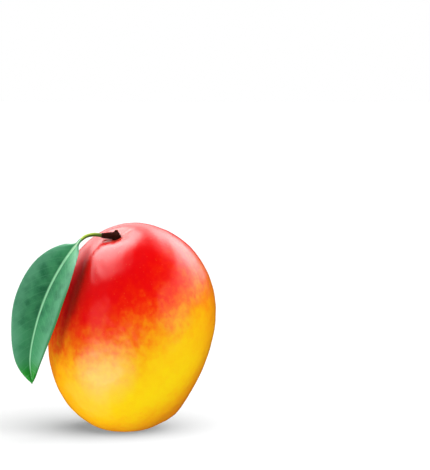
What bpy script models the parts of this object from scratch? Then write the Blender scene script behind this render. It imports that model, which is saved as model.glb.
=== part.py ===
"""A ripe mango at real size, standing on a small flat spot, with its woody stem stub and one leaf.

The sizes below are in millimetres; a mesh gets them in metres. X runs to the right, Y away from the
front and Z up. The origin is the middle of the flat spot.
"""

import math

import bmesh
import bpy
from mathutils import Vector

METRES_PER_MM = 0.001
UP = Vector((0.0, 0.0, 1.0))
BACK = Vector((0.0, 1.0, 0.0))
SHARP_ANGLE = 35.0
SKIN_COLOUR = (0.80, 0.16, 0.03)
SKIN_ROUGHNESS = 0.35
WOOD_COLOUR = (0.045, 0.016, 0.010)
WOOD_ROUGHNESS = 0.75
LEAF_COLOUR = (0.055, 0.22, 0.085)
LEAF_ROUGHNESS = 0.45


def leaning(angle_right, angle_forward=0.0):
    """The direction that leans from upright by so many degrees to the right and towards the front."""
    right, forward = math.radians(angle_right), math.radians(angle_forward)
    return Vector((math.tan(right), -math.tan(forward), 1.0)).normalized()


# The fruit's body, as a radius about its centre: an oval with flatter cheeks, a trace of an egg's
# uneven ends, and diagonals drawn in a little
FRUIT_CENTRE = Vector((3.1, 0.0, 57.0))
MEAN_RADIUS = 52.0
OVAL = 6.6
CHEEK_FLATTENING = 10.0
LONG_AXIS = leaning(12.1)
EGG = 0.5
EGG_AXIS = leaning(76.4)
TAPER = 0.36
TAPER_AXIS = leaning(-2.5)

# What stands out of the oval or is sunk into it: a depth or height, and the angle that it fades over
STEM_AXIS = leaning(-8.4, 13.8)
CAVITY_DEPTH = 3.4
CAVITY_SPREAD = 7.0
SHOULDER_HEIGHT = 0.5
SHOULDER_ANGLE = 17.0
SHOULDER_SPREAD = 7.0
BEAK_AXIS = -leaning(-26.0)
BEAK_HEIGHT = 1.3
BEAK_SPREAD = 9.5

# The round socket in the cavity, which the stem's foot stands in
SOCKET_RADIUS = 2.6
SOCKET_DEPTH = 3.0
CLEARANCE = 0.3

# The fruit's mesh: rings about the stem axis, closer together near the stem
FRUIT_SEGMENTS = 72
FRUIT_RINGS = 46
RING_CROWDING = 1.22

# The stem: a knob whose foot fills the socket, an arm to the left and a cut scar on top
FOOT_RADIUS = SOCKET_RADIUS - CLEARANCE
KNOB_RADII = (FOOT_RADIUS, FOOT_RADIUS, 2.3, 2.35, 2.15, 1.5)
KNOB_HEIGHTS = (CLEARANCE - SOCKET_DEPTH, -0.6, 0.6, 1.7, 2.8, 3.4)
ARM_POINTS = ((-4.4, -13.2, 109.6), (-6.9, -13.6, 109.6), (-9.7, -14.1, 109.6), (-12.6, -14.5, 109.7))
ARM_RADII = (2.1, 2.0, 1.75, 1.35)
SCAR_POINTS = ((-4.6, -13.0, 110.6), (-4.4, -12.8, 112.0), (-4.3, -12.7, 112.5))
SCAR_RADII = (1.3, 1.15, 0.8)
STEM_SEGMENTS = 20

# The leaf: its stalk and midrib are one line, from the arm's end to the tip
STALK_POINTS = ((-13.04, -14.55, 109.8), (-16.8, -15.0, 110.2), (-20.9, -16.6, 109.4))
MIDRIB_POINTS = (
    (-24.2, -18.6, 107.1),
    (-33.0, -23.2, 95.2),
    (-41.3, -25.2, 79.9),
    (-47.5, -26.2, 62.6),
    (-51.2, -26.2, 44.1),
    (-50.4, -24.8, 29.1),
)
STALK_RADIUS = 0.95
STALK_FOOT_RADIUS = 1.15
TIP_RADIUS = 0.45
LEAF_HALF_WIDTH = 16.5
WIDEST_EARLY = 0.85
TIP_FULLNESS = 0.22
FLAT_FROM = 0.085
BLADE_THICKNESS = 0.8
RIB_ABOVE = 0.45
RIB_BELOW = 0.9
LEFT_FOLD = 23.0
RIGHT_FOLD = 45.0
MARGIN_CURL = 1.6
WAVE_HEIGHT = 0.7
WAVES = 3.5
FACING_AT_BASE = Vector((-0.15, -1.0, 0.35))
FACING_AT_TIP = Vector((0.10, -1.0, 0.0))
STALK_RINGS = 9
BLADE_RINGS = 44
RIB_POINTS = 2
BLADE_POINTS = 5
ROUND_REACH = 84.0


def material(name, colour, roughness):
    """A plain coloured finish."""
    made = bpy.data.materials.new(name)
    made.use_nodes = True
    shader = made.node_tree.nodes["Principled BSDF"]
    shader.inputs["Base Color"].default_value = (*colour, 1.0)
    shader.inputs["Roughness"].default_value = roughness
    shader.inputs["Metallic"].default_value = 0.0
    return made


def object_from(bm, name, finish):
    """Turns a mesh in millimetres into a smooth-shaded object in metres."""
    bmesh.ops.scale(bm, vec=Vector((1, 1, 1)) * METRES_PER_MM, verts=bm.verts)
    bmesh.ops.recalc_face_normals(bm, faces=bm.faces)
    mesh = bpy.data.meshes.new(name)
    bm.to_mesh(mesh)
    bm.free()
    mesh.shade_smooth()
    mesh.set_sharp_from_angle(angle=math.radians(SHARP_ANGLE))
    mesh.materials.append(finish)
    made = bpy.data.objects.new(name, mesh)
    bpy.context.scene.collection.objects.link(made)
    return made


def skin_rings(bm, rings):
    """Joins closed rings of points with triangles, all split the same way, and returns their vertices."""
    rows = [[bm.verts.new(point) for point in ring] for ring in rings]
    for row, following in zip(rows, rows[1:]):
        for i, corner in enumerate(row):
            j = (i + 1) % len(row)
            bm.faces.new((corner, row[j], following[j]))
            bm.faces.new((corner, following[j], following[i]))
    return rows


def close_ring(bm, row, apex):
    """Closes a ring with a fan of triangles about a point."""
    middle = bm.verts.new(apex)
    for i, corner in enumerate(row):
        bm.faces.new((corner, row[(i + 1) % len(row)], middle))


def swell(angle, spread):
    """A smooth hump that is 1 at no angle and fades over the spread."""
    return math.exp(-((angle / spread) ** 2))


def fruit_radius(direction):
    """The fruit's radius from its centre in a direction."""
    across_axis = LONG_AXIS.cross(BACK)
    along, across, depth = direction.dot(LONG_AXIS), direction.dot(across_axis), direction.y
    radius = MEAN_RADIUS + OVAL * (along**2 - across**2) - CHEEK_FLATTENING * depth**2
    in_plane = 1 - depth**2
    egg, taper = direction.dot(EGG_AXIS), direction.dot(TAPER_AXIS)
    radius += EGG * (4 * egg**3 - 3 * egg * in_plane)
    radius += TAPER * (8 * taper**4 - 8 * taper**2 * in_plane + in_plane**2)
    from_stem = math.degrees(direction.angle(STEM_AXIS, 0.0))
    from_beak = math.degrees(direction.angle(BEAK_AXIS, 0.0))
    radius -= CAVITY_DEPTH * swell(from_stem, CAVITY_SPREAD)
    radius += SHOULDER_HEIGHT * swell(from_stem - SHOULDER_ANGLE, SHOULDER_SPREAD)
    return radius + BEAK_HEIGHT * swell(from_beak, BEAK_SPREAD)


def around_stem(angle):
    """The directions at an angle in radians from the stem axis, all the way round it."""
    side = STEM_AXIS.cross(BACK).normalized()
    front = STEM_AXIS.cross(side)
    for i in range(FRUIT_SEGMENTS):
        turn = 2 * math.pi * i / FRUIT_SEGMENTS
        outward = math.cos(turn) * side + math.sin(turn) * front
        yield math.cos(angle) * STEM_AXIS + math.sin(angle) * outward


def cavity_floor():
    """The distance from the fruit's centre to the floor of its cavity."""
    return fruit_radius(STEM_AXIS)


def make_fruit():
    """The body: a socket, rings of skin about the stem axis, and the flat spot cut at the bottom."""
    bm = bmesh.new()
    lip = math.asin(SOCKET_RADIUS / cavity_floor())
    floor = cavity_floor() - SOCKET_DEPTH
    foot = math.atan(SOCKET_RADIUS / floor)
    rings = [[FRUIT_CENTRE + floor / math.cos(foot) * d for d in around_stem(foot)]]
    for k in range(FRUIT_RINGS):
        angle = lip + (math.pi - lip) * (k / FRUIT_RINGS) ** RING_CROWDING
        rings.append([FRUIT_CENTRE + fruit_radius(d) * d for d in around_stem(angle)])
    rows = skin_rings(bm, rings)
    close_ring(bm, rows[0], FRUIT_CENTRE + floor * STEM_AXIS)
    close_ring(bm, rows[-1], FRUIT_CENTRE - fruit_radius(-STEM_AXIS) * STEM_AXIS)
    body = bm.verts[:] + bm.edges[:] + bm.faces[:]
    cut = bmesh.ops.bisect_plane(
        bm, geom=body, plane_co=(0, 0, 0), plane_no=-UP, clear_outer=True
    )
    rim = [part for part in cut["geom_cut"] if isinstance(part, bmesh.types.BMEdge)]
    bmesh.ops.edgeloop_fill(bm, edges=rim)
    return object_from(bm, "fruit", material("mango_skin", SKIN_COLOUR, SKIN_ROUGHNESS))


def through(points, samples):
    """Samples a smooth curve through the points, evenly between one point and the next."""
    ends = [2 * points[0] - points[1], *points, 2 * points[-1] - points[-2]]
    for k in range(samples + 1):
        place = (len(points) - 1) * k / samples
        i = min(int(place), len(points) - 2)
        t = place - i
        before, start, end, after = ends[i : i + 4]
        yield 0.5 * (
            2 * start
            + (end - before) * t
            + (2 * before - 5 * start + 4 * end - after) * t**2
            + (3 * start - before - 3 * end + after) * t**3
        )


def tangents(line):
    """The unit direction of a sampled line at each of its points."""
    last = len(line) - 1
    return [(line[min(i + 1, last)] - line[max(i - 1, 0)]).normalized() for i in range(last + 1)]


def tube(bm, line, radii):
    """A closed round tube along a line, with flat ends."""
    rings = []
    for point, along, radius in zip(line, tangents(line), radii):
        side = along.cross(BACK).normalized()
        other = along.cross(side)
        turns = [2 * math.pi * i / STEM_SEGMENTS for i in range(STEM_SEGMENTS)]
        rings.append([point + radius * (math.cos(a) * side + math.sin(a) * other) for a in turns])
    rows = skin_rings(bm, rings)
    close_ring(bm, rows[0], line[0])
    close_ring(bm, rows[-1], line[-1])


def joined_piece(name, points, radii, finish):
    """A tube that another piece takes in with a Boolean, so it is hidden itself."""
    bm = bmesh.new()
    tube(bm, [Vector(point) for point in points], radii)
    piece = object_from(bm, name, finish)
    piece.hide_render = True
    piece.display_type = "WIRE"
    return piece


def make_stem():
    """The woody stub: a knob whose foot stands in the socket, joined to its arm and its scar."""
    wood = material("stem_wood", WOOD_COLOUR, WOOD_ROUGHNESS)
    base = FRUIT_CENTRE + cavity_floor() * STEM_AXIS
    bm = bmesh.new()
    tube(bm, [base + height * STEM_AXIS for height in KNOB_HEIGHTS], KNOB_RADII)
    stem = object_from(bm, "stem", wood)
    for name, points, radii in (
        ("stem_arm", ARM_POINTS, ARM_RADII),
        ("stem_scar", SCAR_POINTS, SCAR_RADII),
    ):
        union = stem.modifiers.new(name, "BOOLEAN")
        union.operation = "UNION"
        union.object = joined_piece(name, points, radii, wood)
    return stem


def leaf_half_width(t):
    """The blade's half width at a share of its length: nothing at both ends, widest before the middle."""
    arch = max(math.sin(math.pi * min(t, 1.0) ** WIDEST_EARLY), 0.0)
    return LEAF_HALF_WIDTH * arch ** (1.0 - TIP_FULLNESS * t)


def across_blade(t, rib_radius):
    """The blade's cross-section: (distance to the right, height of the upper face, of the lower face)."""
    half = BLADE_THICKNESS / 2
    width = max(leaf_half_width(t), rib_radius)
    for i in range(-RIB_POINTS - BLADE_POINTS, RIB_POINTS + BLADE_POINTS + 1):
        side = 1 if i > 0 else -1
        on_rib = min(abs(i) / RIB_POINTS, 1.0)
        on_blade = max(abs(i) - RIB_POINTS, 0) / BLADE_POINTS
        reach = rib_radius * on_rib + (width - rib_radius) * on_blade
        fold = math.radians(RIGHT_FOLD if side > 0 else LEFT_FOLD)
        wave = WAVE_HEIGHT * math.sin(2 * math.pi * WAVES * t + side) * math.sin(math.pi * t)
        lift = reach * math.sin(fold) - (MARGIN_CURL + wave) * on_blade**2
        ridge = math.cos(on_rib * math.pi / 2) * (1 - t)
        top, bottom = lift + half + RIB_ABOVE * ridge, lift - half - RIB_BELOW * ridge
        yield side * reach * math.cos(fold), top, bottom


def leaf_ring(point, along, facing, t, radius, flatness):
    """One closed ring of the leaf: round on the stalk, and the blade's cross-section where it is flat."""
    right = facing.cross(along).normalized()
    front = along.cross(right)
    columns = list(across_blade(t, radius))
    widest = (len(columns) - 1) / 2
    upper, lower = [], []
    for i, (reach, top, bottom) in enumerate(columns):
        turn = (i - widest) / widest * math.radians(ROUND_REACH)
        round_reach, round_top = radius * math.sin(turn), radius * math.cos(turn)
        sideways = round_reach + (reach - round_reach) * flatness
        upper.append(point + sideways * right + (round_top + (top - round_top) * flatness) * front)
        lower.append(point + sideways * right + ((bottom + round_top) * flatness - round_top) * front)
    return upper + lower[::-1]


def skin_leaf(bm, rings):
    """Joins the leaf's rings, with the same split of each square on its upper and lower face."""
    rows = [[bm.verts.new(point) for point in ring] for ring in rings]
    count = len(rows[0])
    for row, following in zip(rows, rows[1:]):
        for i in range(count):
            j = (i + 1) % count
            if i < count // 2:
                bm.faces.new((row[i], row[j], following[j]))
                bm.faces.new((row[i], following[j], following[i]))
            else:
                bm.faces.new((row[i], row[j], following[i]))
                bm.faces.new((row[j], following[j], following[i]))
    for row in (rows[0], rows[-1]):
        for i in range(count // 2 - 1):
            bm.faces.new((row[i], row[i + 1], row[-2 - i]))
            bm.faces.new((row[i], row[-2 - i], row[-1 - i]))


def make_leaf():
    """The leaf: a round stalk that flattens into a folded blade about its midrib."""
    joint = Vector(MIDRIB_POINTS[0])
    stalk = list(through([*map(Vector, STALK_POINTS), joint], STALK_RINGS))
    blade = list(through(list(map(Vector, MIDRIB_POINTS)), BLADE_RINGS))
    line = stalk[:-1] + blade
    rings = []
    for k, (point, along) in enumerate(zip(line, tangents(line))):
        on_stalk = min(k / STALK_RINGS, 1.0)
        t = max(k - STALK_RINGS, 0) / BLADE_RINGS
        radius = STALK_FOOT_RADIUS + (STALK_RADIUS - STALK_FOOT_RADIUS) * on_stalk
        radius += (TIP_RADIUS - STALK_RADIUS) * t
        facing = FACING_AT_BASE.lerp(FACING_AT_TIP, t)
        flatness = min(t / FLAT_FROM, 1.0)
        rings.append(leaf_ring(point, along, facing, t, radius, flatness))
    bm = bmesh.new()
    skin_leaf(bm, rings)
    return object_from(bm, "leaf", material("leaf_green", LEAF_COLOUR, LEAF_ROUGHNESS))


def main():
    """Clears the scene and makes the three pieces."""
    for old in list(bpy.data.objects):
        bpy.data.objects.remove(old, do_unlink=True)
    make_fruit()
    make_stem()
    make_leaf()


main()
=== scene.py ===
"""A ripe mango with its woody stem stub and one leaf, dressed and lit as in a plain studio.

Sizes are in millimetres in the mango's own frame: X to the right, Y away from the front, Z up, and
the origin on the flat spot that the fruit rests on. Meshes and places are turned into metres at the end.
"""

import logging
import math
from dataclasses import dataclass, field
from enum import Enum
from typing import Sequence

import bpy
import numpy as np
from mathutils import Matrix, Vector


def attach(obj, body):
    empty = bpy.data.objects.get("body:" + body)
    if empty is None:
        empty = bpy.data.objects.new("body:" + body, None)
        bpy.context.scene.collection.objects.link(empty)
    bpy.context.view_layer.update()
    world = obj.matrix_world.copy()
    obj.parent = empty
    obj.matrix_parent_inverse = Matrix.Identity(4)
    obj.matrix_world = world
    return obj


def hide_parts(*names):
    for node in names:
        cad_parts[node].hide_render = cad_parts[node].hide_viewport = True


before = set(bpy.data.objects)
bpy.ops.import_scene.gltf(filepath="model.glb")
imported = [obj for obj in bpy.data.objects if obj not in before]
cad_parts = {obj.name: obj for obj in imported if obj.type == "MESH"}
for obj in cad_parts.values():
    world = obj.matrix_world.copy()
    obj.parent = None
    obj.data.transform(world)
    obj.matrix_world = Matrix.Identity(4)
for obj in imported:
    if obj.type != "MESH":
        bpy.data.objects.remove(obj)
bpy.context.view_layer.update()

log = logging.getLogger("mango")

Array = np.ndarray
Triple = tuple[float, float, float]
Socket = bpy.types.NodeSocket
Value = Socket | float | Sequence[float]
Inputs = dict[str | int, Value]

METRE = 0.001
BODY = "root"


class Slot(Enum):
    """The record's material slots."""

    SKIN = "mango_skin"
    WOOD = "stem_wood"
    LEAF = "leaf_green"


class Side(Enum):
    """The two halves of the blade, seen from the front."""

    LEFT = -1.0
    RIGHT = 1.0


def leaning(right_deg: float, forward_deg: float = 0.0) -> Array:
    """The unit direction that leans from upright to the right and towards the front, in degrees."""
    line = np.array([math.tan(math.radians(right_deg)), -math.tan(math.radians(forward_deg)), 1.0])
    return line / np.linalg.norm(line)


def unit(vectors: Array) -> Array:
    """Vectors along the last axis, each scaled to length 1."""
    return vectors / np.linalg.norm(vectors, axis=-1, keepdims=True)


def smooth(low: float, high: float, value: Array) -> Array:
    """A smooth step from 0 at low to 1 at high."""
    share = np.clip((value - low) / (high - low), 0.0, 1.0)
    return share * share * (3.0 - 2.0 * share)


def between(start: Array | float, end: Array | float, share: Array) -> Array:
    """What lies a share of the way from one value to another."""
    return start + (end - start) * share


def swell(angle: Array, spread: float) -> Array:
    """A smooth hump that is 1 at no angle and fades over the spread."""
    return np.exp(-((angle / spread) ** 2))


def angle_deg(directions: Array, axis: Array) -> Array:
    """The angle in degrees between each direction and an axis."""
    return np.degrees(np.arccos(np.clip(directions @ axis, -1.0, 1.0)))


def plain(vector: Array) -> Triple:
    """A vector as three plain numbers."""
    x, y, z = (float(v) for v in vector)
    return x, y, z


def cosine(degrees: float) -> float:
    """The cosine of an angle in degrees."""
    return math.cos(math.radians(degrees))


def ripple(places: Array, wavelength: float, seed: int, waves: int = 18) -> Array:
    """Smooth unevenness, as a sum of plane waves with seeded directions.

    Args:
        places: Points, in millimetres.
        wavelength: The middle length of a wave, in millimetres.
        seed: What the directions and lengths are drawn from.
        waves: How many waves are added.

    Returns:
        One value for each point, mostly between -1 and 1.
    """
    draw = np.random.default_rng(seed)
    total = np.zeros(places.shape[:-1])
    for _ in range(waves):
        direction = unit(draw.normal(size=3))
        length = wavelength * draw.uniform(0.7, 1.5)
        total += np.sin(places @ direction * (2 * math.pi / length) + draw.uniform(0, 2 * math.pi))
    return total / math.sqrt(waves)


def spokes(side: Array, other: Array, count: int) -> Array:
    """Evenly turned unit directions in the plane of two that are square to each other."""
    turns = np.linspace(0, 2 * math.pi, count, endpoint=False)[:, None]
    return np.cos(turns) * side[..., None, :] + np.sin(turns) * other[..., None, :]


def in_scene(name: str, data: bpy.types.ID) -> bpy.types.Object:
    """Puts a mesh, a lamp or a camera in the scene.

    Args:
        name: The object's name.
        data: What the object shows.

    Returns:
        The object.
    """
    made = bpy.data.objects.new(name, data)
    bpy.context.scene.collection.objects.link(made)
    return made


@dataclass
class Draft:
    """A mesh on its way to an object: points in millimetres, faces, and values at the points."""

    points: Array
    faces: list[Sequence[int]]
    values: dict[str, Array] = field(default_factory=dict)

    def build(self, name: str) -> bpy.types.Object:
        """Makes the object.

        Args:
            name: The object's name.

        Returns:
            A smooth-shaded object in metres, linked to the scene.
        """
        mesh = bpy.data.meshes.new(name)
        mesh.from_pydata((self.points * METRE).tolist(), [], self.faces)
        for label, numbers in self.values.items():
            layer = mesh.attributes.new(label, "FLOAT", "POINT")
            layer.data.foreach_set("value", np.asarray(numbers, np.float32))
        mesh.shade_smooth()
        return in_scene(name, mesh)


def ring_faces(rings: int, count: int) -> list[Sequence[int]]:
    """The squares that join closed rings of points, one after another.

    Args:
        rings: How many rings there are.
        count: How many points each ring has.

    Returns:
        The faces, as indices into the rings' points laid end to end.
    """
    here = np.arange((rings - 1) * count).reshape(-1, count)
    beside = np.roll(here, -1, axis=1)
    return np.stack([here, beside, beside + count, here + count], -1).reshape(-1, 4).tolist()


def fan(ring: Sequence[int], middle: int, flip: bool) -> list[Sequence[int]]:
    """The triangles that close a ring about a middle point."""
    pairs = zip(ring, [*ring[1:], ring[0]])
    return [(b, a, middle) if flip else (a, b, middle) for a, b in pairs]


def closed(rings: Array, first: Array, last: Array) -> Draft:
    """Joins closed rings of points, and closes both ends.

    Args:
        rings: The points, by ring.
        first: The middle of the first end.
        last: The middle of the last end.

    Returns:
        The mesh.
    """
    rows, count = rings.shape[:2]
    total = rows * count
    faces = ring_faces(rows, count)
    faces += fan(range(count), total, flip=True)
    faces += fan(range(total - count, total), total + 1, flip=False)
    return Draft(np.concatenate([rings.reshape(-1, 3), [first, last]]), faces)


def dress(piece: bpy.types.Object, finish: bpy.types.Material, node: str) -> None:
    """Gives a piece its finish, and ties it to the frame.

    Args:
        piece: The finished object.
        finish: Its material.
        node: The solid that the piece stands for.
    """
    piece.data.materials.clear()
    piece.data.materials.append(finish)
    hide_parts(node)
    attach(piece, BODY)
    log.info("%s: %d faces, stands for %s", piece.name, len(piece.data.polygons), node)


class Graph:
    """The node tree of a material or of the world, with short calls for the nodes that they use."""

    def __init__(self, owner: bpy.types.Material | bpy.types.World, shader: str) -> None:
        """Starts a node tree.

        Args:
            owner: What the nodes belong to.
            shader: The name of the shader node that it starts with.
        """
        self.owner = owner
        self.owner.use_nodes = True
        self.tree = self.owner.node_tree
        self.shader = self.tree.nodes[shader]

    @classmethod
    def surface(cls, name: str) -> "Graph":
        """Starts a material's nodes."""
        return cls(bpy.data.materials.new(name), "Principled BSDF")

    def node(self, kind: str, inputs: Inputs | None = None, **settings: object) -> bpy.types.Node:
        """Adds a node.

        Args:
            kind: The node's type, without its ShaderNode prefix.
            inputs: What feeds its sockets, by their names or numbers.
            **settings: Properties to set on it.

        Returns:
            The new node.
        """
        made = self.tree.nodes.new("ShaderNode" + kind)
        for name, value in settings.items():
            setattr(made, name, value)
        for key, value in (inputs or {}).items():
            self.feed(value, made.inputs[key])
        return made

    def feed(self, value: Value, target: Socket) -> None:
        """Links a socket to another, or sets a plain value on it.

        Args:
            value: The socket or the plain value.
            target: The socket that takes it.
        """
        if isinstance(value, bpy.types.NodeSocket):
            self.tree.links.new(value, target)
        else:
            target.default_value = value

    def math(self, operation: str, *values: Value) -> Socket:
        """One sum on the single values that the operation takes."""
        return self.node("Math", dict(enumerate(values)), operation=operation).outputs[0]

    def times(self, first: Value, second: Value) -> Socket:
        """One value times another."""
        return self.math("MULTIPLY", first, second)

    def scaled(self, value: Value, scale: Value, offset: Value) -> Socket:
        """A value times a scale, plus an offset."""
        return self.math("MULTIPLY_ADD", value, scale, offset)

    def vector(self, operation: str, *values: Value) -> Socket:
        """One sum on vectors; a dot product or a distance comes out as a single value."""
        made = self.node("VectorMath", dict(enumerate(values)), operation=operation)
        return made.outputs["Value" if operation in ("DOT_PRODUCT", "DISTANCE") else "Vector"]

    def reach(self, vector: Value, axis: Sequence[float]) -> Socket:
        """How far a vector reaches along an axis of any length."""
        return self.vector("DOT_PRODUCT", vector, plain(unit(np.array(axis))))

    def place(self) -> Socket:
        """The point of the surface, in millimetres."""
        inside = self.node("TexCoord").outputs["Object"]
        return self.vector("MULTIPLY", inside, (1 / METRE,) * 3)

    def value(self, label: str) -> Socket:
        """A value that the mesh carries at its points."""
        return self.node("Attribute", attribute_name=label).outputs["Fac"]

    def step(self, low: float, high: float, value: Value) -> Socket:
        """A smooth step from 0 at low to 1 at high, which may be the lower of the two."""
        inputs = {"Value": value, "From Min": low, "From Max": high}
        return self.node("MapRange", inputs, interpolation_type="SMOOTHSTEP").outputs["Result"]

    def noise(self, where: Value, size: float, detail: float = 2.0, rough: float = 0.5) -> Socket:
        """Cloudy noise from 0 to 1: its patches' size in mm, and its finer layers' number and strength."""
        inputs = {"Vector": where, "Scale": 1.0 / size, "Detail": detail, "Roughness": rough}
        return self.node("TexNoise", inputs).outputs["Fac"]

    def cells(self, where: Value, size: float, feature: str = "F1") -> bpy.types.Node:
        """A pattern of cells: their spacing in mm, and what is measured in them."""
        return self.node("TexVoronoi", {"Vector": where, "Scale": 1.0 / size}, feature=feature)

    def ramp(self, factor: Value, stops: Sequence[tuple[float, Triple]]) -> Socket:
        """A colour that changes along a factor.

        Args:
            factor: The value to follow, from 0 to 1.
            stops: Places and their colours, lowest first.

        Returns:
            The colour's socket.
        """
        made = self.node("ValToRGB", {"Fac": factor})
        band = made.color_ramp
        while len(band.elements) < len(stops):
            band.elements.new(1.0)
        for element, (where, colour) in zip(band.elements, stops):
            element.position = where
            element.color = (*colour, 1.0)
        return made.outputs["Color"]

    def blend(self, factor: Value, under: Value, over: Value, kind: str = "MIX") -> Socket:
        """One colour laid over another.

        Args:
            factor: How much of it shows.
            under: The colour beneath.
            over: The colour on top.
            kind: The way they mix.

        Returns:
            The mixed colour's socket.
        """
        inputs: Inputs = {0: factor}
        for key, value in ((6, under), (7, over)):
            inputs[key] = (*value, 1.0) if isinstance(value, tuple) else value
        return self.node("Mix", inputs, data_type="RGBA", blend_type=kind).outputs[2]

    def lay(self, under: Value, over: Value, where: Value, strength: float) -> Socket:
        """Lays a colour over another where a value says, at a strength."""
        return self.blend(self.times(where, strength), under, over)

    def relief(self, height_mm: Value, strength: float) -> None:
        """Gives the surface fine relief: its height in mm, and how much of it is felt."""
        made = self.node("Bump", {"Strength": strength, "Distance": METRE, "Height": height_mm})
        self.feed(made.outputs["Normal"], self.shader.inputs["Normal"])

    def finish(self, **sockets: Value) -> bpy.types.Material:
        """Feeds the shader.

        Args:
            **sockets: Values by socket name, with _ for each space.

        Returns:
            The finished material.
        """
        for name, value in sockets.items():
            self.feed(value, self.shader.inputs[name.replace("_", " ")])
        return self.owner


@dataclass(frozen=True)
class FruitForm:
    """The fruit's shape, as a radius about its centre."""

    centre: Triple = (3.1, 0.0, 57.0)
    mean_radius: float = 52.0
    oval: float = 6.6
    cheek_flattening: float = 10.0
    long_lean: float = 12.1
    egg: float = 0.5
    egg_lean: float = 76.4
    taper: float = 0.36
    taper_lean: float = -2.5
    stem_lean: float = -8.4
    stem_forward: float = 13.8
    cavity_depth: float = 3.4
    cavity_spread: float = 7.0
    shoulder_height: float = 0.5
    shoulder_angle: float = 17.0
    shoulder_spread: float = 7.0
    beak_lean: float = -26.0
    beak_height: float = 1.3
    beak_spread: float = 9.5

    @property
    def stem_axis(self) -> Array:
        """The direction from the centre to the stem."""
        return leaning(self.stem_lean, self.stem_forward)

    @property
    def beak_axis(self) -> Array:
        """The direction from the centre to the beak."""
        return -leaning(self.beak_lean)

    def radius(self, directions: Array) -> Array:
        """The body's radius in each direction.

        Args:
            directions: Unit vectors from the centre.

        Returns:
            The radii, in millimetres.
        """
        along_axis = leaning(self.long_lean)
        along = directions @ along_axis
        across = directions @ np.cross(along_axis, (0.0, 1.0, 0.0))
        depth = directions[..., 1]
        in_plane = 1 - depth**2
        egg, taper = directions @ leaning(self.egg_lean), directions @ leaning(self.taper_lean)
        radius = self.mean_radius + self.oval * (along**2 - across**2)
        radius -= self.cheek_flattening * depth**2
        radius += self.egg * (4 * egg**3 - 3 * egg * in_plane)
        radius += self.taper * (8 * taper**4 - 8 * taper**2 * in_plane + in_plane**2)
        from_stem = angle_deg(directions, self.stem_axis)
        radius -= self.cavity_depth * swell(from_stem, self.cavity_spread)
        radius += self.shoulder_height * swell(from_stem - self.shoulder_angle, self.shoulder_spread)
        return radius + self.beak_height * swell(angle_deg(directions, self.beak_axis), self.beak_spread)


@dataclass(frozen=True)
class Mottle:
    """One layer of cloudy unevenness: its patches' size in millimetres, its strength and its make-up."""

    size: float
    strength: float
    detail: float = 2.0
    rough: float = 0.5
    flatten: float = 1.0


@dataclass(frozen=True)
class Mark:
    """A round patch of colour about an axis, which fades in between two angles in degrees."""

    colour: Triple
    outer: float
    inner: float
    strength: float

    def add(self, g: Graph, under: Socket, reach: Socket) -> Socket:
        """Lays the patch over a colour, by how far the outward direction reaches along its axis."""
        spread = g.step(cosine(self.outer), cosine(self.inner), reach)
        return g.lay(under, self.colour, spread, self.strength)


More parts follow.
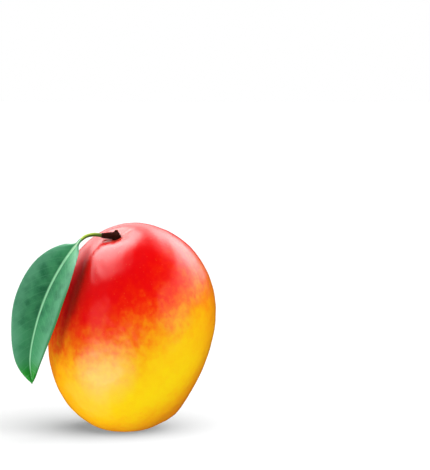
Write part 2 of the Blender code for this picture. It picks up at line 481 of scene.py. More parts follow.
@dataclass(frozen=True)
class SkinFinish:
    """Waxy mango skin: a red blush over yellow, mottled, with pale pores and a peach patch on the lower
    front, partly bloom and partly a painted reflection of the floor.

    The ripening runs from the gold of the lower end through yellow and orange to the crimson crown.
    """

    ripening: Sequence[tuple[float, Triple]] = (
        (0.03, (0.96, 0.460, 0.001)),
        (0.24, (0.96, 0.690, 0.001)),
        (0.43, (0.95, 0.570, 0.001)),
        (0.53, (0.95, 0.440, 0.001)),
        (0.60, (0.94, 0.290, 0.001)),
        (0.665, (0.94, 0.140, 0.001)),
        (0.75, (0.93, 0.045, 0.001)),
        (0.81, (0.91, 0.012, 0.001)),
        (0.875, (0.88, 0.002, 0.002)),
        (0.97, (0.84, 0.001, 0.004)),
    )
    mottles: Sequence[Mottle] = (
        Mottle(26.0, 0.20),
        Mottle(9.0, 0.40, 3.0, 0.6),
        Mottle(3.4, 0.34, flatten=0.75),
        Mottle(1.9, 0.16, 1.0),
    )
    blush_axis: Triple = (-0.36, -0.36, 0.87)
    blush_start: float = 0.484
    bloom_and_sheen_axis: Triple = (-0.28, -0.86, -0.42)
    bloom_and_sheen: Triple = (1.0, 0.62, 0.26)
    pore: Triple = (1.0, 0.40, 0.10)
    pore_spacing: float = 2.0
    pore_strength: float = 0.09
    pore_height: float = 0.02
    wave_height: float = 0.05
    grain_height: float = 0.012
    neck: Mark = Mark((0.80, 0.16, 0.10), 8.0, 3.0, 0.25)
    rim: Mark = Mark((0.10, 0.045, 0.02), 3.6, 2.6, 0.22)
    scar: Mark = Mark((0.10, 0.045, 0.02), 1.9, 1.1, 0.8)
    # The tint of painted shade towards the fruit's outline.
    edge_shade: Triple = (1.0, 0.60, 0.45)
    roughness: float = 0.24

    def material(self, form: FruitForm) -> bpy.types.Material:
        """Makes the skin.

        Args:
            form: The fruit that it covers.

        Returns:
            The material.
        """
        g = Graph.surface("ripe_mango_skin")
        place = g.place()
        outward = g.vector("NORMALIZE", g.vector("SUBTRACT", place, form.centre))
        colour = g.ramp(self._blush(g, place, outward), self.ripening)
        # Painted shade: the skin is darkened to orange where it faces sideways, up or down rather than to
        # the front or back.
        edge = g.math("ABSOLUTE", g.reach(outward, (0.0, 1.0, 0.0)))
        colour = g.blend(g.step(0.78, 0.12, edge), colour, self.edge_shade, "MULTIPLY")
        colour = self._with_bloom_and_sheen(g, colour, place, outward)
        pores = self._pores(g, place)
        colour = g.lay(colour, self.pore, pores, self.pore_strength)
        colour = self._necked(g, colour, place, outward, form)
        rough = g.scaled(g.noise(place, 6.0, 3.0), 0.10, self.roughness - 0.05)
        waves = g.times(g.noise(place, 1.6), self.wave_height)
        height = g.scaled(g.noise(place, 0.55), self.grain_height, waves)
        g.relief(g.scaled(pores, self.pore_height, height), 0.8)
        wax = {"Specular_IOR_Level": 0.45, "Coat_Weight": 0.10, "Coat_Roughness": 0.20}
        return g.finish(Base_Color=colour, Roughness=rough, **wax)

    def _blush(self, g: Graph, place: Socket, outward: Socket) -> Socket:
        """How red the skin is at a point, from 0 to 1.

        Args:
            g: The material's graph.
            place: The point, in millimetres.
            outward: The direction from the fruit's centre.

        Returns:
            The value's socket.
        """
        total = g.reach(outward, self.blush_axis)
        for layer in self.mottles:
            where = g.vector("MULTIPLY", place, (1.0, 1.0, layer.flatten))
            cloud = g.noise(where, layer.size, layer.detail, layer.rough)
            total = g.scaled(g.math("SUBTRACT", cloud, 0.5), layer.strength, total)
        return g.scaled(total, 0.5, self.blush_start)

    def _with_bloom_and_sheen(self, g: Graph, colour: Socket, place: Socket, outward: Socket) -> Socket:
        """Lays a pale patch over the skin where the blush ends: partly waxy bloom, partly a painted
        reflection of the bright floor.

        Args:
            g: The material's graph.
            colour: The skin's colour so far.
            place: The point, in millimetres.
            outward: The direction from the fruit's centre.

        Returns:
            The colour's socket.
        """
        # Painted reflection: the patch sits on the lower front, which mirrors the bright floor.
        near = g.step(0.90, 0.99, g.reach(outward, self.bloom_and_sheen_axis))
        cloudy = g.step(0.30, 0.70, g.noise(place, 9.0, 3.0))
        amount = g.times(near, g.scaled(cloudy, 0.10, 0.12))
        return g.blend(amount, colour, self.bloom_and_sheen)

    def _pores(self, g: Graph, place: Socket) -> Socket:
        """Where the skin's small pale pores are.

        Args:
            g: The material's graph.
            place: The point, in millimetres.

        Returns:
            The socket of a value from 0 to 1.
        """
        cells = g.cells(place, self.pore_spacing).outputs
        chosen = g.step(0.15, 0.45, g.reach(cells["Color"], (1.0, 0.0, 0.0)))
        return g.times(g.step(0.20, 0.10, cells["Distance"]), chosen)

    def _necked(self, g: Graph, colour: Socket, place: Socket, outward: Socket, form: FruitForm) -> Socket:
        """Pales the skin about the stem, and darkens the scar at the beak.

        Args:
            g: The material's graph.
            colour: The skin's colour so far.
            place: The point, in millimetres.
            outward: The direction from the fruit's centre.
            form: The fruit's shape.

        Returns:
            The colour's socket.
        """
        stem = g.reach(outward, form.stem_axis)
        ragged = g.scaled(g.noise(place, 2.2, 3.0), 0.012, stem)
        colour = self.neck.add(g, colour, ragged)
        colour = self.rim.add(g, colour, ragged)
        beak = g.reach(outward, form.beak_axis)
        frayed = g.scaled(g.noise(place, 0.7), 0.0006, beak)
        return self.scar.add(g, colour, frayed)


@dataclass
class Fruit:
    """The whole fruit, with its cavity, socket, beak and flat spot."""

    form: FruitForm = field(default_factory=FruitForm)
    finish: SkinFinish = field(default_factory=SkinFinish)
    socket_radius: float = 2.6
    socket_depth: float = 3.0
    lip_height: float = 0.22
    lip_angle: float = 3.6
    lip_spread: float = 0.8
    segments: int = 288
    rings: int = 230
    crowding: float = 1.35
    unevenness: float = 0.16
    fold_height: float = 0.10
    fold_angle: float = 6.5
    fold_spread: float = 3.0
    scar_angle: float = 1.5
    scar_height: float = 0.35
    rest_softness: float = 0.35
    rest_fade: tuple[float, float] = (2.0, 6.0)

    def _relief(self, directions: Array) -> Array:
        """The small forms on the skin: its unevenness, the folds and lip about the socket, the beak's scar.

        Args:
            directions: Unit vectors from the centre.

        Returns:
            What they add to the radius, in millimetres.
        """
        places = directions * self.form.mean_radius
        relief = self.unevenness * (0.5 * ripple(places, 17.0, 3) + 0.25 * ripple(places, 6.5, 4) - 0.6)
        from_stem = angle_deg(directions, self.form.stem_axis)
        side = unit(np.cross(self.form.stem_axis, (0.0, 1.0, 0.0)))
        turn = np.arctan2(directions @ np.cross(self.form.stem_axis, side), directions @ side)
        folds = self.fold_height * (np.sin(7 * turn + 1.3) + 0.6 * np.sin(13 * turn))
        relief += folds * swell(from_stem - self.fold_angle, self.fold_spread)
        relief += self.lip_height * swell(from_stem - self.lip_angle, self.lip_spread)
        from_beak = angle_deg(directions, self.form.beak_axis)
        relief += self.scar_height * swell(from_beak, self.scar_angle)
        return relief - 0.8 * self.scar_height * swell(from_beak, 0.45 * self.scar_angle)

    def _directions(self, angles: Array) -> Array:
        """Rings of directions about the stem axis.

        Args:
            angles: Each ring's angle from the axis, in radians.

        Returns:
            Unit vectors, by ring.
        """
        stem = self.form.stem_axis
        side = unit(np.cross(stem, (0.0, 1.0, 0.0)))
        outward = spokes(side, np.cross(stem, side), self.segments)
        return np.cos(angles)[:, None, None] * stem + np.sin(angles)[:, None, None] * outward

    def _rested(self, points: Array) -> Array:
        """Presses the lower end flat on the floor, with a soft rim.

        Args:
            points: The fruit's points, in millimetres.

        Returns:
            The same points, with the lowest ones raised.
        """
        heights = points[:, 2]
        pressed = 0.5 * (heights + np.sqrt(heights**2 + self.rest_softness**2))
        points[:, 2] = between(heights, pressed, 1 - smooth(*self.rest_fade, heights))
        return points

    def build(self) -> bpy.types.Object:
        """Makes and dresses the fruit.

        Returns:
            The fruit.
        """
        stem = self.form.stem_axis
        floor = float(self.form.radius(stem)) - self.socket_depth
        lip = math.asin(self.socket_radius / (floor + self.socket_depth))
        shares = (np.arange(self.rings) / self.rings) ** self.crowding
        skin = self._directions(lip + (math.pi - lip) * shares)
        rings = skin * (self.form.radius(skin) + self._relief(skin))[..., None]
        foot = math.atan(self.socket_radius / floor)
        wall = self._directions(np.array([foot, foot + 0.5 * (lip - foot)]))
        depths = np.array([floor / math.cos(foot), floor + 0.5 * self.socket_depth])
        rings = np.concatenate([wall * depths[:, None, None], rings])
        last = -stem * (self.form.radius(-stem) + self._relief(-stem))
        draft = closed(rings, stem * floor, last)
        draft.points = self._rested(draft.points + self.form.centre)
        piece = draft.build("ripe_mango")
        dress(piece, self.finish.material(self.form), "fruit")
        return piece


@dataclass(frozen=True)
class BarkFinish:
    """Dark maroon-brown wood with fine cracks, and a paler cut on the scar."""

    dark: Triple = (0.008, 0.002, 0.002)
    brown: Triple = (0.060, 0.012, 0.006)
    dusty: Triple = (0.13, 0.045, 0.026)
    cut: Triple = (0.26, 0.035, 0.016)
    crack_depth: float = 0.18
    roughness: float = 0.80

    def material(self, cut_at: Triple) -> bpy.types.Material:
        """Makes the bark.

        Args:
            cut_at: The middle of the cut scar, in millimetres.

        Returns:
            The material.
        """
        g = Graph.surface("stem_bark")
        place = g.place()
        along = g.vector("MULTIPLY", place, (0.35, 1.0, 1.0))
        cracks = g.noise(along, 0.5, 4.0, 0.65)
        patches = g.noise(place, 1.8)
        colour = g.ramp(cracks, ((0.30, self.dark), (0.62, self.brown), (0.85, self.dusty)))
        colour = g.lay(colour, self.dark, patches, 0.6)
        near = g.step(1.5, 0.5, g.vector("DISTANCE", place, cut_at))
        colour = g.lay(colour, self.cut, near, 0.7)
        g.relief(g.times(cracks, self.crack_depth), 1.0)
        rough = g.scaled(patches, 0.2, self.roughness - 0.1)
        return g.finish(Base_Color=colour, Roughness=rough, Specular_IOR_Level=0.08)


def through(points: Sequence[Triple], samples: int) -> Array:
    """Samples a smooth curve through points, evenly between one point and the next.

    Args:
        points: The points that the curve passes, in order.
        samples: How many steps the curve is cut into.

    Returns:
        The samples, one more than the steps.
    """
    knots = np.array(points, float)
    knots = np.concatenate([[2 * knots[0] - knots[1]], knots, [2 * knots[-1] - knots[-2]]])
    places = np.linspace(0, len(points) - 1, samples + 1)
    spans = np.minimum(places.astype(int), len(points) - 2)
    t = (places - spans)[:, None]
    before, start, end, after = (knots[spans + k] for k in range(4))
    return 0.5 * (
        2 * start
        + (end - before) * t
        + (2 * before - 5 * start + 4 * end - after) * t**2
        + (3 * start - before - 3 * end + after) * t**3
    )


def tangents(line: Array) -> Array:
    """The unit direction of a sampled line at each of its points."""
    return unit(np.gradient(line, axis=0))


@dataclass
class Stem:
    """The woody stub: a knob in the cavity, an arm to the left and a cut scar on top."""

    form: FruitForm = field(default_factory=FruitForm)
    finish: BarkFinish = field(default_factory=BarkFinish)
    knob_heights: Sequence[float] = (-2.7, -0.6, 0.6, 1.7, 2.8, 3.4)
    knob_radii: Sequence[float] = (2.3, 2.3, 2.3, 2.35, 2.15, 1.5)
    arm_points: Sequence[Triple] = (
        (-4.4, -13.2, 109.6),
        (-6.9, -13.6, 109.6),
        (-9.7, -14.1, 109.6),
        (-12.65, -14.5, 109.7),
    )
    arm_radii: Sequence[float] = (2.1, 2.0, 1.75, 1.35)
    scar_points: Sequence[Triple] = ((-4.6, -13.0, 110.6), (-4.4, -12.8, 112.0), (-4.3, -12.7, 112.5))
    scar_radii: Sequence[float] = (1.3, 1.15, 0.8)
    steps: int = 12
    sides: int = 40
    voxel: float = 0.11
    smoothing: int = 7
    bark_depth: float = 0.10

    def _tube(self, name: str, points: Sequence[Triple], radii: Sequence[float]) -> bpy.types.Object:
        """One closed round tube along a smooth line.

        Args:
            name: The object's name.
            points: The points that its middle line passes.
            radii: The radius at each of them.

        Returns:
            The tube.
        """
        steps = self.steps * (len(points) - 1)
        line = through(points, steps)
        widths = np.interp(np.linspace(0, len(radii) - 1, steps + 1), range(len(radii)), radii)
        along = tangents(line)
        side = unit(np.cross(along, (0.0, 1.0, 0.0)))
        outward = spokes(side, np.cross(along, side), self.sides)
        rings = line[:, None] + widths[:, None, None] * outward
        return closed(rings, line[0], line[-1]).build(name)

    def build(self) -> bpy.types.Object:
        """Makes and dresses the stem: tubes grown into one skin, smoothed and given bark.

        Returns:
            The stem.
        """
        axis = self.form.stem_axis
        base = np.array(self.form.centre) + float(self.form.radius(axis)) * axis
        knob = [tuple(base + height * axis) for height in self.knob_heights]
        tubes = [
            self._tube("woody_stem", knob, self.knob_radii),
            self._tube("stem_arm", self.arm_points, self.arm_radii),
            self._tube("stem_scar", self.scar_points, self.scar_radii),
        ]
        piece = tubes[0]
        with bpy.context.temp_override(
            active_object=piece, object=piece, selected_editable_objects=tubes, selected_objects=tubes
        ):
            bpy.ops.object.join()
        self._grow_together(piece)
        dress(piece, self.finish.material(self.scar_points[-1]), "stem")
        return piece

    def _grow_together(self, piece: bpy.types.Object) -> None:
        """Turns the joined tubes into one skin with softened joints and a barky surface.

        Args:
            piece: The object that holds the tubes.
        """
        remesh = piece.modifiers.new("one_skin", "REMESH")
        remesh.mode = "VOXEL"
        remesh.voxel_size = self.voxel * METRE
        soften = piece.modifiers.new("soften", "SMOOTH")
        soften.iterations = self.smoothing
        graph = bpy.context.evaluated_depsgraph_get()
        mesh = bpy.data.meshes.new_from_object(piece.evaluated_get(graph))
        piece.modifiers.clear()
        piece.data = mesh
        points = np.array([v.co for v in mesh.vertices]) / METRE
        normals = np.array([v.normal for v in mesh.vertices])
        rough = 0.6 * ripple(points * (0.4, 1.0, 1.0), 0.9, 11) + 0.4 * ripple(points, 0.45, 12)
        points += normals * (self.bark_depth * (rough - 0.5))[:, None]
        mesh.vertices.foreach_set("co", (points * METRE).astype(np.float32).ravel())
        mesh.shade_smooth()


@dataclass(frozen=True)
class LeafFinish:
    """A leathery leaf: deep green above with a pale midrib and fine side veins, paler below."""

    deep: Triple = (0.012, 0.150, 0.058)
    fresh: Triple = (0.050, 0.300, 0.120)
    # Paler teal towards the margins: partly a thinner edge, partly painted sheen.
    pale_edge_and_sheen: Triple = (0.115, 0.370, 0.215)
    tip: Triple = (0.004, 0.240, 0.008)
    vein: Triple = (0.12, 0.42, 0.21)
    rib: Triple = (0.40, 0.88, 0.50)
    rib_base: Triple = (0.66, 0.98, 0.62)
    stalk: Triple = (0.42, 0.58, 0.05)
    stalk_foot: Triple = (0.10, 0.15, 0.02)
    # The colour of painted shade on the stalk's underside.
    stalk_shade: Triple = (0.045, 0.11, 0.006)
    below: Triple = (0.10, 0.27, 0.11)
    # The colour of painted shade along the rolled right margin.
    margin_shade: Triple = (0.010, 0.150, 0.030)
    cloud_size: float = 7.0
    net_size: float = 1.1
    net_strength: float = 0.16
    net_depth: float = 0.012
    vein_strength: float = 0.30
    vein_depth: float = 0.06
    grain_height: float = 0.02
    roughness: float = 0.50

    def material(self, leaf: "Leaf") -> bpy.types.Material:
        """Makes the leaf's finish.

        Args:
            leaf: The leaf that it covers, which says how its side veins run.

        Returns:
            The material.
        """
        g = Graph.surface("leaf_surface")
        along, across = g.value("along"), g.value("across")
        veins = self._veins(g, along, across, leaf)
        flat = g.node("CombineXYZ", {0: along, 1: across}).outputs[0]
        cloudy = g.noise(flat, self.cloud_size, 3.0)
        cells = g.cells(flat, self.net_size, "DISTANCE_TO_EDGE")
        net = g.step(0.10, 0.02, cells.outputs["Distance"])
        above = self._above(g, across, cloudy, net, veins)
        below = g.lay(self.below, self.rib, veins, 0.6)
        colour = g.blend(g.value("upper"), below, above)
        share, on_stalk = g.value("share"), g.value("stalk")
        shown = g.times(g.step(0.25, 0.85, g.value("rib")), g.step(1.0, 0.80, share))
        pale_rib = g.blend(g.step(0.16, 0.0, share), self.rib, self.rib_base)
        colour = g.blend(shown, colour, pale_rib)
        colour = g.blend(g.step(0.0, 0.12, on_stalk), colour, self._stalk_green(g, on_stalk))
        grain = g.times(g.noise(g.place(), 0.35), self.grain_height)
        raised = g.scaled(veins, -self.vein_depth, grain)
        g.relief(g.scaled(net, -self.net_depth, raised), 0.8)
        rough = g.scaled(cloudy, 0.16, self.roughness - 0.08)
        wax = {"Specular_IOR_Level": 0.45, "Coat_Weight": 0.08, "Coat_Roughness": 0.30}
        return g.finish(Base_Color=colour, Roughness=rough, **wax)

    def _above(self, g: Graph, across: Socket, cloudy: Socket, net: Socket, veins: Socket) -> Socket:
        """Colours the blade's upper face.

        Args:
            g: The material's graph.
            across: The distance from the midrib, in mm, negative to the left.
            cloudy: The blade's cloudy unevenness.
            net: Where the fine net between the side veins runs.
            veins: Where the side veins run.

        Returns:
            The colour's socket.
        """
        share, rim = g.value("share"), g.value("rim")
        ends = g.math("ADD", g.step(0.32, 0.05, share), g.step(0.50, 0.70, share))
        lively = g.scaled(ends, 0.22, cloudy)
        colour = g.blend(g.step(0.30, 0.72, lively), self.deep, self.fresh)
        # Paler towards the margins: partly a thinner edge, partly painted sheen.
        outer = g.scaled(g.math("SUBTRACT", cloudy, 0.5), 0.6, rim)
        colour = g.lay(colour, self.pale_edge_and_sheen, g.step(0.30, 1.05, outer), 0.75)
        colour = g.lay(colour, self.vein, net, self.net_strength)
        colour = g.blend(g.step(0.78, 0.93, share), colour, self.tip)
        colour = g.lay(colour, self.vein, veins, self.vein_strength)
        # Painted shade: the right margin is darkened where it rolls under, along the middle of the blade.
        shaded_margin = g.times(g.step(0.82, 0.93, rim), g.step(0.0, 0.5, across))
        shaded_margin = g.times(shaded_margin, g.step(0.22, 0.42, share))
        return g.lay(colour, self.margin_shade, shaded_margin, 0.95)

    def _stalk_green(self, g: Graph, on_stalk: Socket) -> Socket:
        """Colours the stalk, darker at its foot, with painted shade where it faces down.

        Args:
            g: The material's graph.
            on_stalk: The place along the stalk, from 0 at the blade to 1 at the foot.

        Returns:
            The colour's socket.
        """
        green = g.blend(g.step(0.55, 1.0, on_stalk), self.stalk, self.stalk_foot)
        # Painted shade: where the stalk faces down, it takes the darker green.
        normal = g.node("NewGeometry").outputs["Normal"]
        turned_up = g.step(-0.15, 0.55, g.reach(normal, (0.0, 0.0, 1.0)))
        return g.blend(turned_up, self.stalk_shade, green)

    def _veins(self, g: Graph, along: Socket, across: Socket, leaf: "Leaf") -> Socket:
        """Where the side veins run, from 0 between them to 1 on them.

        Args:
            g: The material's graph.
            along: The distance along the midrib, in mm.
            across: The distance from the midrib, in mm, negative to the left.
            leaf: The leaf, which says how they run.

        Returns:
            The value's socket.
        """
        out = g.math("ABSOLUTE", across)
        start = g.scaled(out, -leaf.vein_slope, along)
        start = g.scaled(g.times(out, out), -leaf.vein_bend, start)
        stagger = leaf.vein_stagger * leaf.vein_spacing
        shifted = g.scaled(g.math("SIGN", across), stagger, start)
        turn = g.math("FRACT", g.math("DIVIDE", shifted, leaf.vein_spacing))
        apart = g.math("ABSOLUTE", g.math("SUBTRACT", turn, 0.5))
        line = g.step(0.43, 0.485, apart)
        return g.times(line, g.step(0.4, 1.4, out))


@dataclass
class Leaf:
    """The leaf: a round stalk that flattens into a folded, gently waved blade about its midrib."""

    finish: LeafFinish = field(default_factory=LeafFinish)
    stalk_points: Sequence[Triple] = ((-12.2, -14.5, 109.75), (-16.8, -15.0, 110.2), (-20.9, -16.6, 109.4))
    midrib_points: Sequence[Triple] = (
        (-24.2, -18.6, 107.1),
        (-33.0, -23.2, 95.2),
        (-41.3, -25.2, 79.9),
        (-47.5, -26.2, 62.6),
        (-51.2, -26.2, 44.1),
        (-50.4, -24.8, 29.1),
    )
    stalk_radius: float = 0.95
    stalk_foot_radius: float = 1.15
    tip_radius: float = 0.30
    half_width: float = 16.46
    widest_early: float = 0.85
    tip_fullness: float = 0.22
    flat_from: float = 0.085
    thickness: float = 0.5
    edge_thickness: float = 0.22
    rib_above: float = 0.40
    rib_below: float = 0.85
    rib_sharpness: float = 40.0
    left_fold: float = 23.0
    right_fold: float = 45.0
    margin_curl: float = 1.6
    wave_height: float = 0.7
    waves: float = 3.5
    facing_at_base: Triple = (-0.15, -1.0, 0.35)
    facing_at_tip: Triple = (0.10, -1.0, 0.0)
    vein_spacing: float = 5.2
    vein_slope: float = 0.55
    vein_bend: float = 0.030
    vein_stagger: float = 0.27
    quilting: float = 0.02
    stalk_rings: int = 60
    blade_rings: int = 330
    rib_columns: int = 7
    blade_columns: int = 28
    round_reach: float = 84.0

    def _half_width(self, share: Array) -> Array:
        """The blade's half width at each share of its length."""
        arch = np.clip(np.sin(math.pi * np.clip(share, 0, 1) ** self.widest_early), 0, None)
        return self.half_width * arch ** (1.0 - self.tip_fullness * share)

    def _columns(self) -> tuple[Array, Array, Array]:
        """The columns of points across the blade.

        Returns:
            Each column's side, its share of the midrib's half width and its share of the blade beyond.
        """
        reach = self.rib_columns + self.blade_columns
        index = np.arange(-reach, reach + 1)
        side = np.where(index > 0, Side.RIGHT.value, Side.LEFT.value)
        on_rib = np.minimum(np.abs(index) / self.rib_columns, 1.0)
        on_blade = np.maximum(np.abs(index) - self.rib_columns, 0) / self.blade_columns
        return side, on_rib, on_blade**0.9

    def _section(self, share: Array, radius: Array, length: Array) -> dict[str, Array]:
        """The blade's cross-sections.

        Args:
            share: The share of the blade's length at each ring.
            radius: The midrib's half width at each ring, in mm.
            length: The distance along the midrib at each ring, in mm.

        Returns:
            The reach to the right and the heights of both faces, and what the finish needs.
        """
        side, on_rib, on_blade = (part[None] for part in self._columns())
        share, radius, length = share[:, None], radius[:, None], length[:, None]
        width = np.maximum(self._half_width(share), radius)
        reach = radius * on_rib + (width - radius) * on_blade
        fold = np.radians(np.where(side > 0, self.right_fold, self.left_fold))
        wave = self.wave_height * np.sin(2 * math.pi * self.waves * share + side)
        wave = wave * np.sin(math.pi * share)
        lift = reach * np.sin(fold) - (self.margin_curl + wave) * on_blade**2
        start = length - self.vein_slope * reach - self.vein_bend * reach**2
        pillow = np.cos(2 * math.pi * (start / self.vein_spacing + self.vein_stagger * side))
        lift = lift - self.quilting * pillow * smooth(0.05, 0.3, on_blade) * (1 - on_blade**4)
        half = 0.5 * between(self.thickness, self.edge_thickness, on_blade**3)
        ridge = np.cos(on_rib * math.pi / 2) * (1 - 0.85 * share)
        rib = 1 - self.rib_sharpness * on_blade - 0.5 * on_rib
        return {
            "reach": side * reach * np.cos(fold),
            "top": lift + half + self.rib_above * ridge,
            "bottom": lift - half - self.rib_below * ridge,
            "across": side * reach,
            "rib": np.broadcast_to(np.clip(rib, 0, 1), reach.shape),
            "rim": np.broadcast_to(on_blade, reach.shape),
        }

    def build(self) -> bpy.types.Object:
        """Makes and dresses the leaf.

        Returns:
            The leaf.
        """
        stalk = through([*self.stalk_points, self.midrib_points[0]], self.stalk_rings)
        blade = through(self.midrib_points, self.blade_rings)
        line = np.concatenate([stalk[:-1], blade])
        steps = np.arange(len(line))
        on_stalk = np.clip(1 - steps / self.stalk_rings, 0, 1)
        share = np.clip((steps - self.stalk_rings) / self.blade_rings, 0, 1)
        run = np.concatenate([[0.0], np.cumsum(np.linalg.norm(np.diff(line, axis=0), axis=1))])
        length = run - run[self.stalk_rings]
        radius = between(self.stalk_radius, self.stalk_foot_radius, on_stalk**2)
        radius = radius + (self.tip_radius - self.stalk_radius) * share
        section = self._section(share, radius, length)
        points = self._placed(line, share, radius, section)
        rings, count = points.shape[:2]
        faces = ring_faces(rings, count)
        for ring in (0, rings - 1):
            faces += self._cap(ring * count, count, flip=ring == 0)
        values = {"upper": np.tile(np.arange(count) < count // 2, rings)}
        for label, numbers in {"along": length, "share": share, "stalk": on_stalk}.items():
            values[label] = np.repeat(numbers, count)
        for label in ("across", "rib", "rim"):
            values[label] = np.concatenate([section[label], section[label][:, ::-1]], 1).ravel()
        piece = Draft(points.reshape(-1, 3), faces, values).build("mango_leaf")
        dress(piece, self.finish.material(self), "leaf")
        return piece

    def _placed(self, line: Array, share: Array, radius: Array, section: dict[str, Array]) -> Array:
        """Sets the cross-sections round the leaf's line: round on the stalk, flat on the blade.

        Args:
            line: The stalk's and midrib's points.
            share: The share of the blade's length at each of them.
            radius: The line's half width at each of them.
            section: The cross-sections.

        Returns:
            The points, by ring.
        """
        along = tangents(line)
        facing = between(np.array(self.facing_at_base), np.array(self.facing_at_tip), share[:, None])
        right = unit(np.cross(facing, along))
        front = np.cross(along, right)
        widest = section["reach"].shape[1] // 2
        turn = np.linspace(-1, 1, 2 * widest + 1) * math.radians(self.round_reach)
        flat = smooth(0.0, self.flat_from, share)[:, None]
        round_reach = radius[:, None] * np.sin(turn)
        round_top = radius[:, None] * np.cos(turn)
        sideways = between(round_reach, section["reach"], flat)
        top = between(round_top, section["top"], flat)
        bottom = between(-round_top, section["bottom"], flat)
        reach = line[:, None] + sideways[..., None] * right[:, None]
        upper = reach + top[..., None] * front[:, None]
        lower = reach + bottom[..., None] * front[:, None]
        return np.concatenate([upper, lower[:, ::-1]], 1)

    def _cap(self, first: int, count: int, flip: bool) -> list[Sequence[int]]:
        """The squares that close an end ring, from its upper row to its lower one.

        Args:
            first: The number of the ring's first point.
            count: How many points the ring has.
            flip: Whether the squares face the other way.

        Returns:
            The faces.
        """
        faces = [(first + i, first + i + 1, first + count - 2 - i, first + count - 1 - i)
                 for i in range(count // 2 - 1)]
        return [face[::-1] for face in faces] if flip else faces


class Lit(Enum):
    """Which pieces a lamp lights."""

    ALL = "mango_pieces"
    FRUIT = "fruit_and_stem"
    LEAF = "leaf_alone"


class Shine(Enum):
    """Which part of a lamp's light the surfaces give back."""

    COLOUR = "colour"
    SHEEN = "sheen"


def pointing(azimuth: float, elevation: float) -> Array:
    """The direction at an azimuth from the front, positive to the right, and an elevation, in degrees."""
    turn, rise = math.radians(azimuth), math.radians(elevation)
    return np.array([math.sin(turn) * math.cos(rise), -math.cos(turn) * math.cos(rise), math.sin(rise)])


@dataclass(frozen=True)
class SoftBox:
    """A soft oval studio lamp that is aimed at the fruit and lights some of the pieces."""

    name: str
    azimuth: float
    elevation: float
    spread: tuple[float, float]
    level: float
    shine: Shine = Shine.COLOUR
    lit: Lit = Lit.ALL
    distance: float = 900.0

    def build(self, aim: Triple, groups: dict[Lit, bpy.types.Collection]) -> None:
        """Hangs the lamp.

        Args:
            aim: The point that it is aimed at, in millimetres.
            groups: The pieces, by what lamps may light; they all throw shadows in its light.
        """
        lamp = bpy.data.lights.new(self.name, "AREA")
        lamp.shape = "ELLIPSE"
        wide, tall = (2 * self.distance * math.tan(math.radians(a / 2)) * METRE for a in self.spread)
        lamp.size, lamp.size_y = wide, tall
        lamp.energy = self.level * (math.pi * self.distance * METRE) ** 2
        made = in_scene(self.name, lamp)
        line = Vector(pointing(self.azimuth, self.elevation))
        place = Vector(aim) + self.distance * line
        made.matrix_world = Matrix.LocRotScale(place * METRE, (-line).to_track_quat("-Z", "Y"), None)
        made.visible_camera = False
        made.visible_diffuse = self.shine is Shine.COLOUR
        made.visible_glossy = self.shine is Shine.SHEEN
        made.light_linking.receiver_collection = groups[self.lit]
        made.light_linking.blocker_collection = groups[Lit.ALL]
        log.info("lamp %s: %.2f W", self.name, lamp.energy)


@dataclass(frozen=True)
class Glow:
    """A soft oval patch of light in the studio that only shows mirrored in the pieces."""

    azimuth: float
    elevation: float
    spread: tuple[float, float]
    core: float
    level: float

    def add(self, g: Graph, direction: Socket, upward: Socket) -> Socket:
        """How bright it is in a direction; it stays on its own side of the horizon.

        Args:
            g: The world's graph.
            direction: The direction that is looked in.
            upward: How far that points up, from -1 to 1.

        Returns:
            The brightness's socket.
        """
        middle = pointing(self.azimuth, self.elevation)
        across = pointing(self.azimuth + 90.0, 0.0)
        squares = []
        for axis, half in zip((across, np.cross(across, middle)), self.spread):
            offset = g.vector("DOT_PRODUCT", direction, plain(axis / math.sin(math.radians(half))))
            squares.append(g.times(offset, offset))
        patch = g.step(1.0, self.core, g.math("SQRT", g.math("ADD", *squares)))
        ahead = g.math("GREATER_THAN", g.reach(direction, middle), 0.0)
        horizon = g.step(-0.08, 0.16, upward) if self.elevation > 0 else g.step(-0.02, -0.16, upward)
        return g.times(g.times(g.times(patch, ahead), horizon), self.level)


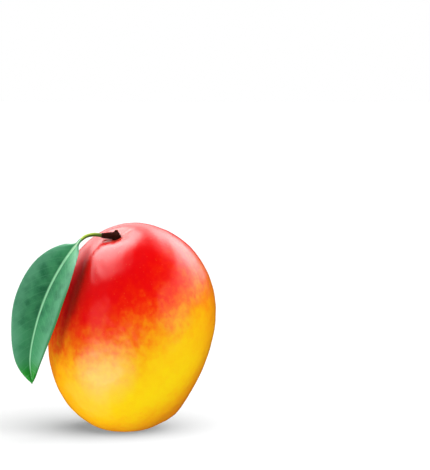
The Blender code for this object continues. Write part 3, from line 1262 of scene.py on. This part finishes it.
@dataclass
class Studio:
    """A plain white floor and background, with soft lamps about the fruit."""

    middle: Triple = (0.0, 0.0, 60.0)
    floor_reach: float = 6000.0
    floor_white: Triple = (0.90, 0.90, 0.90)
    floor_grey: Triple = (0.86, 0.86, 0.86)
    floor_light: float = 4.2
    floor_light_spread: float = 95.0
    floor_light_from: tuple[float, float] = (50.0, 66.0)
    ambient: float = 0.07
    ambient_below: float = 0.35
    mirrored: float = 0.02
    glows: Sequence[Glow] = (
        Glow(-105.0, 64.0, (47.0, 36.0), 0.45, 9.5),
        Glow(138.0, 38.0, (44.0, 38.0), 0.0, 6.5),
        Glow(98.0, 28.0, (34.0, 30.0), 0.30, 2.4),
        Glow(-160.0, 28.0, (42.0, 30.0), 0.20, 2.0),
        Glow(-34.0, -25.0, (52.0, 25.0), 0.20, 4.2),
    )
    lamps: Sequence[SoftBox] = (
        SoftBox("low_left", -82.0, -47.0, (70.0, 45.0), 1.1),
        SoftBox("top_left", -88.0, 50.0, (60.0, 45.0), 0.52),
        SoftBox("front_left", -43.0, 4.0, (24.0, 24.0), 0.28),
        SoftBox("right", 58.0, 9.0, (45.0, 45.0), 0.97, Shine.COLOUR, Lit.FRUIT),
        SoftBox("leaf_right", 60.0, 9.0, (45.0, 45.0), 0.7, Shine.COLOUR, Lit.LEAF),
        SoftBox("top_back", 180.0, 60.0, (50.0, 50.0), 0.8),
        SoftBox("leaf_sheen", -80.0, 15.0, (70.0, 70.0), 0.75, Shine.SHEEN, Lit.LEAF),
    )

    def build(self, pieces: Sequence[bpy.types.Object]) -> None:
        """Lays the floor, lights the world and hangs the lamps.

        Args:
            pieces: The mango's pieces.
        """
        fruit, stem, leaf = pieces
        members = {Lit.ALL: (fruit, stem, leaf), Lit.FRUIT: (fruit, stem), Lit.LEAF: (leaf,)}
        groups = {lit: self._group(lit.value, members[lit]) for lit in Lit}
        fruit.visible_diffuse = False
        self._floor()
        self._world()
        for lamp in self.lamps:
            lamp.build(self.middle, groups)
        view = bpy.context.scene.view_settings
        view.view_transform = "Standard"
        view.look = "None"

    def _group(self, name: str, members: Sequence[bpy.types.Object]) -> bpy.types.Collection:
        """A collection of objects, for the lamps to light or to be shadowed by.

        Args:
            name: The collection's name.
            members: What is in it.

        Returns:
            The collection.
        """
        made = bpy.data.collections.new(name)
        for member in members:
            made.objects.link(member)
        return made

    def _floor(self) -> None:
        """Lays the plain floor, and lights it by itself from above."""
        reach = self.floor_reach
        corners = np.array([(-reach, -reach, 0), (reach, -reach, 0), (reach, reach, 0), (-reach, reach, 0)])
        floor = Draft(corners.astype(float), [(0, 1, 2, 3)]).build("studio_floor")
        g = Graph.surface("matt_white_floor")
        shade = g.noise(g.place(), 40.0)
        white = g.lay(self.floor_white, self.floor_grey, shade, 0.02)
        floor.data.materials.append(g.finish(Base_Color=white, Roughness=0.9, Specular_IOR_Level=0.0))
        floor.visible_glossy = False
        floor.visible_diffuse = False
        lamp = bpy.data.lights.new("floor_light", "SUN")
        lamp.energy = self.floor_light
        lamp.angle = math.radians(self.floor_light_spread)
        made = in_scene("floor_light", lamp)
        line = Vector(pointing(*self.floor_light_from))
        made.matrix_world = (-line).to_track_quat("-Z", "Y").to_matrix().to_4x4()
        made.light_linking.receiver_collection = self._group("floor_alone", (floor,))

    def _world(self) -> None:
        """White for the camera, dim for matt light, and with soft bright patches where it is mirrored."""
        world = bpy.data.worlds.new("studio_white")
        bpy.context.scene.world = world
        g = Graph(world, "Background")
        direction = g.node("TexCoord").outputs["Generated"]
        upward = g.reach(direction, (0.0, 0.0, 1.0))
        above = g.step(-0.04, 0.10, upward)
        mirrored: Value = self.mirrored
        for glow in self.glows:
            mirrored = g.math("ADD", glow.add(g, direction, upward), mirrored)
        ambient = g.scaled(above, self.ambient - self.ambient_below, self.ambient_below)
        path = g.node("LightPath").outputs
        lit = g.node("Mix", {0: path["Is Glossy Ray"], 2: ambient, 3: mirrored}, data_type="FLOAT")
        shown = g.node("Mix", {0: path["Is Camera Ray"], 2: lit.outputs[0], 3: 1.0}, data_type="FLOAT")
        g.finish(Strength=shown.outputs[0], Color=(1.0, 1.0, 1.0, 1.0))


@dataclass(frozen=True)
class PhotoCamera:
    """The camera, placed so that the mango's origin shows where the photograph has it."""

    frame_width: float = 430.0
    frame_height: float = 470.0
    origin_across: float = 126.0
    origin_down: float = 428.7
    mm_per_pixel: float = 0.559
    distance: float = 1300.0
    elevation: float = 5.0
    sensor: float = 36.0

    def build(self) -> None:
        """Makes the camera and looks through it."""
        across = (self.frame_width / 2 - self.origin_across) * self.mm_per_pixel
        down = (self.frame_height / 2 - self.origin_down) * self.mm_per_pixel
        place = Vector((across, -down, self.distance)) * METRE
        lens = bpy.data.cameras.new("photo_camera")
        longest = max(self.frame_width, self.frame_height) * self.mm_per_pixel
        lens.sensor_width = self.sensor
        lens.lens = self.sensor * self.distance / longest
        made = in_scene("photo_camera", lens)
        turn = Matrix.Rotation(math.radians(90.0 - self.elevation), 4, "X")
        made.matrix_world = turn @ Matrix.Translation(place)
        bpy.context.scene.camera = made
        log.info("camera at %s, lens %.1f mm", [round(v, 3) for v in made.location], lens.lens)


def main() -> None:
    """Builds the mango's pieces, the studio and the camera, and notes the sizes."""
    logging.basicConfig(level=logging.INFO, format="%(name)s: %(message)s")
    Studio().build([Fruit().build(), Stem().build(), Leaf().build()])
    PhotoCamera().build()


if __name__ == "__main__":
    main()
